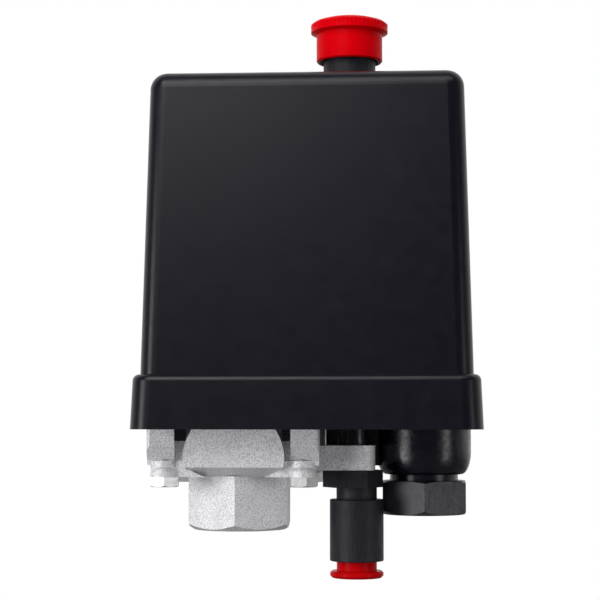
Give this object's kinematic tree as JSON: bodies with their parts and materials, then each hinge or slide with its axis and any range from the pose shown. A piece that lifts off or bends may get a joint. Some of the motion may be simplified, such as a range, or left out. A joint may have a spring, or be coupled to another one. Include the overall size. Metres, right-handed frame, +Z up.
{
  "type": "pressure switch",
  "caption": "Air-compressor pressure switch: cast port flange, unloader valve with push-in tube fitting, cable gland and a black cover with a red push-pull knob.",
  "frame": {"origin": "centre of the mouth of the threaded pressure port, under the casting's hexagon", "axes": "+Z up along the port axis towards the knob, -Y the front face, +X towards the cable gland"},
  "size_m": [0.0762, 0.064, 0.1273],
  "materials": {
    "cast_aluminium": "die-cast, fine grain",
    "zinc_fastener": "bright zinc plate",
    "zinc_sheet": "zinc-plated sheet steel",
    "ground_steel": "ground steel",
    "spring_steel": "bright drawn wire",
    "piston_metal": "turned",
    "rubber_black": "matt",
    "cover_plastic": "satin black moulding",
    "tray_plastic": "glossy black moulding",
    "nut_plastic": "semi-gloss dark grey moulding",
    "valve_black": "blackened brass",
    "fitting_black": "matt black resin",
    "knob_red": "glossy red moulding",
    "collet_red": "glossy red moulding",
    "stem_black": "satin black moulding",
    "bakelite": "phenolic moulding",
    "terminal_brass": "stamped brass",
    "contact_silver": "silver alloy"
  },
  "bodies": {
    "housing": {"port_casting": "cast_aluminium", "flange_screws": "zinc_fastener", "diaphragm": "rubber_black", "base_tray": "tray_plastic", "gland_seal": "rubber_black", "valve_body": "valve_black", "tube_fitting": "fitting_black", "tube_oring": "rubber_black", "grab_ring": "ground_steel", "frame": "zinc_sheet", "pivot_pin": "ground_steel", "pivot_clips": "zinc_fastener", "lock_nut": "zinc_fastener", "contact_block": "bakelite", "block_screws": "zinc_fastener", "terminal_plates": "terminal_brass", "fixed_contacts": "contact_silver", "terminal_clamps": "terminal_brass", "terminal_screws": "zinc_fastener", "earth_washer": "zinc_fastener", "earth_screw": "zinc_fastener", "main_spring": "spring_steel", "valve_spring": "spring_steel", "bridge_springs": "spring_steel"},
    "cover": {"cover": "cover_plastic", "cover_screw": "zinc_fastener", "detent_clip": "spring_steel"},
    "knob": {"knob_cap": "knob_red", "knob_stem": "stem_black"},
    "lever": {"lever": "zinc_sheet", "lower_spring_seat": "zinc_sheet"},
    "piston": {"piston": "piston_metal"},
    "contacts": {"contact_carrier": "stem_black", "contact_bridges": "terminal_brass", "moving_contacts": "contact_silver"},
    "valve": {"valve_pin": "ground_steel", "valve_seal": "rubber_black"},
    "spring_seat": {"upper_spring_seat": "zinc_sheet"},
    "adjuster": {"adjusting_screw": "ground_steel"},
    "collet": {"tube_collet": "collet_red"},
    "gland_washer": {"gland_washer": "zinc_sheet"},
    "gland_nut": {"gland_nut": "nut_plastic"}
  },
  "joints": [
    {"name": "cover_lift", "type": "slide", "parent": "housing", "child": "cover", "axis": [0, 0, 1], "range_m": [0, 0.085]},
    {"name": "knob_push", "type": "slide", "parent": "cover", "child": "knob", "axis": [0, 0, -1], "range_m": [0, 0.005]},
    {"name": "lever_tilt", "type": "hinge", "parent": "housing", "child": "lever", "pos_m": [0.013, 0, 0.058], "axis": [0, 1, 0], "range_deg": [0, 6], "deforming": ["main_spring"]},
    {"name": "piston_lift", "type": "slide", "parent": "housing", "child": "piston", "axis": [0, 0, 1], "range_m": [0, 0.0014]},
    {"name": "contacts_open", "type": "slide", "parent": "housing", "child": "contacts", "axis": [0, 0, -1], "range_m": [0, 0.00245], "deforming": ["bridge_springs"]},
    {"name": "valve_push", "type": "slide", "parent": "housing", "child": "valve", "axis": [0, 0, -1], "range_m": [0, 0.00142], "deforming": ["valve_spring"]},
    {"name": "seat_shift", "type": "slide", "parent": "housing", "child": "spring_seat", "axis": [0, 0, 1], "range_m": [-0.0025, 0.00125], "deforming": ["main_spring"]},
    {"name": "adjuster_turn", "type": "hinge", "parent": "spring_seat", "child": "adjuster", "pos_m": [0, 0, 0.09], "axis": [0, 0, 1], "range_deg": [-720, 360]},
    {"name": "collet_press", "type": "slide", "parent": "housing", "child": "collet", "axis": [0, 0, 1], "range_m": [0, 0.0015]},
    {"name": "gland_slide", "type": "slide", "parent": "housing", "child": "gland_washer", "axis": [0, 0, -1], "range_m": [0, 0.003]},
    {"name": "gland_turn", "type": "hinge", "parent": "gland_washer", "child": "gland_nut", "pos_m": [0.0424, 0.004, 0.007], "axis": [0, 0, -1], "range_deg": [0, 720]}
  ],
  "couplings": [
    {"joint": "piston_lift", "follows": "lever_tilt", "m_per_rad": 0.0127},
    {"joint": "contacts_open", "follows": "lever_tilt", "m_per_rad": 0.023},
    {"joint": "valve_push", "follows": "lever_tilt", "m_per_rad": 0.0134},
    {"joint": "adjuster_turn", "follows": "seat_shift", "rad_per_m": 5026.5},
    {"joint": "gland_turn", "follows": "gland_slide", "rad_per_m": 4188.7}
  ]
}
